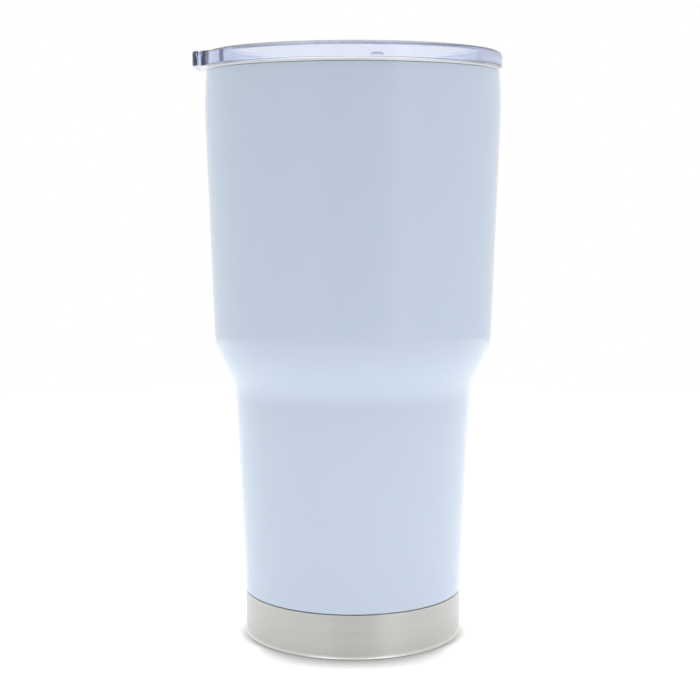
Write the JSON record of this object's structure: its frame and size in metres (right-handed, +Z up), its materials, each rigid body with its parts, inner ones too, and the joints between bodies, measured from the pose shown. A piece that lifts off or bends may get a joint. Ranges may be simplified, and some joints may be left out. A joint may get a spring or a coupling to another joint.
{
  "type": "insulated tumbler with lid",
  "caption": "Two-stage vacuum-insulated steel tumbler with a coated body, bare base band and a clear press-in lid that lifts off and has a sliding drink closure.",
  "frame": {"origin": "on the tumbler's axis, in the plane that the foot ring stands on, which is 1 mm below the recessed flat of the base", "axes": "+Z up along the tumbler's axis to the lid; the lid's lift tab points along -X and its drink opening is on the +X side"},
  "size_m": [0.1061, 0.103, 0.2037],
  "materials": {
    "coat": "gloss",
    "base_steel": "brushed",
    "liner_steel": "electropolished",
    "seal_glass": "fused",
    "getter_alloy": "sintered",
    "clear_plastic": "gloss",
    "silicone": "satin"
  },
  "bodies": {
    "cup": {"outer_shell": "coat", "base_cup": "base_steel", "inner_liner": "liner_steel", "vacuum_plate": "liner_steel", "vacuum_seal": "seal_glass", "getter": "getter_alloy", "getter_clip": "liner_steel"},
    "lid": {"lid_body": "clear_plastic", "lid_gasket": "silicone"},
    "slider": {"slider": "clear_plastic", "slider_pad": "silicone"}
  },
  "joints": [
    {"name": "lid_lift", "type": "slide", "parent": "cup", "child": "lid", "axis": [0, 0, 1], "range_m": [0, 0.08]},
    {"name": "slider_slide", "type": "slide", "parent": "lid", "child": "slider", "axis": [-1, 0, 0], "range_m": [0, 0.014]}
  ]
}
